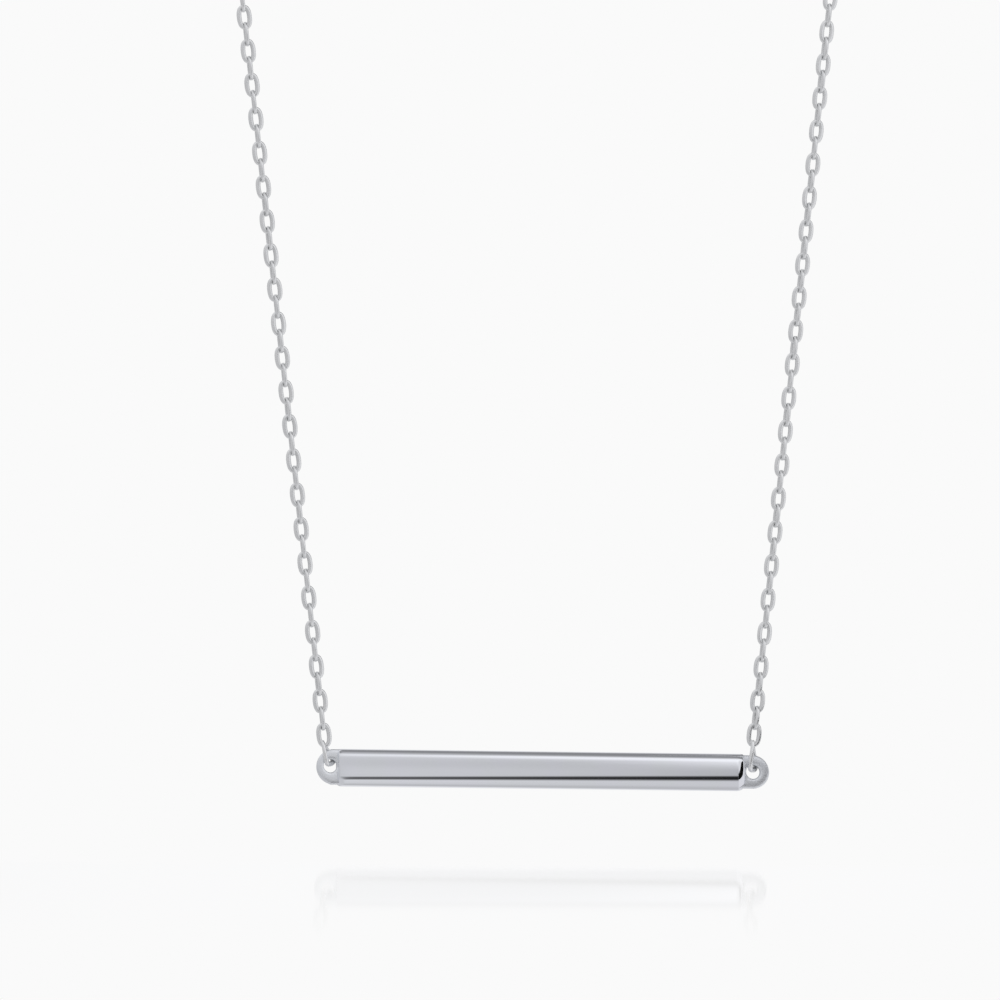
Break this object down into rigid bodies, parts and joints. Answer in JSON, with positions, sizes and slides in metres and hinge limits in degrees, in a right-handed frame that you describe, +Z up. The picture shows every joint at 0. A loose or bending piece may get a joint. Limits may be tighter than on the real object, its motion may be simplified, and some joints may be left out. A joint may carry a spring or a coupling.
{
  "type": "bar pendant",
  "caption": "Level bar pendant with a half-round lug at each end, hung from a closed loop of fine cable chain with a plain clasp at the nape.",
  "frame": {"origin": "inner side of the clasp, where the closed loop rests on the nape of the neck", "axes": "+Z up, -Y towards the front where the bar hangs, +X to the right of someone who looks at the bar"},
  "size_m": [0.0938, 0.0904, 0.1168],
  "materials": {
    "bar": "mirror-polished silver",
    "end_link": "polished silver",
    "chain": "polished silver with flattened sides",
    "clasp": "polished silver"
  },
  "bodies": {
    "loop": {"chain_left": "chain", "chain_right": "chain", "clasp": "clasp"},
    "pendant": {"bar": "bar", "end_link_left": "end_link", "end_link_right": "end_link"}
  },
  "joints": [
    {"name": "bar_swing", "type": "hinge", "parent": "loop", "child": "pendant", "pos_m": [0, -0.088, -0.11], "axis": [1, 0, 0], "range_deg": [-60, 60]}
  ]
}
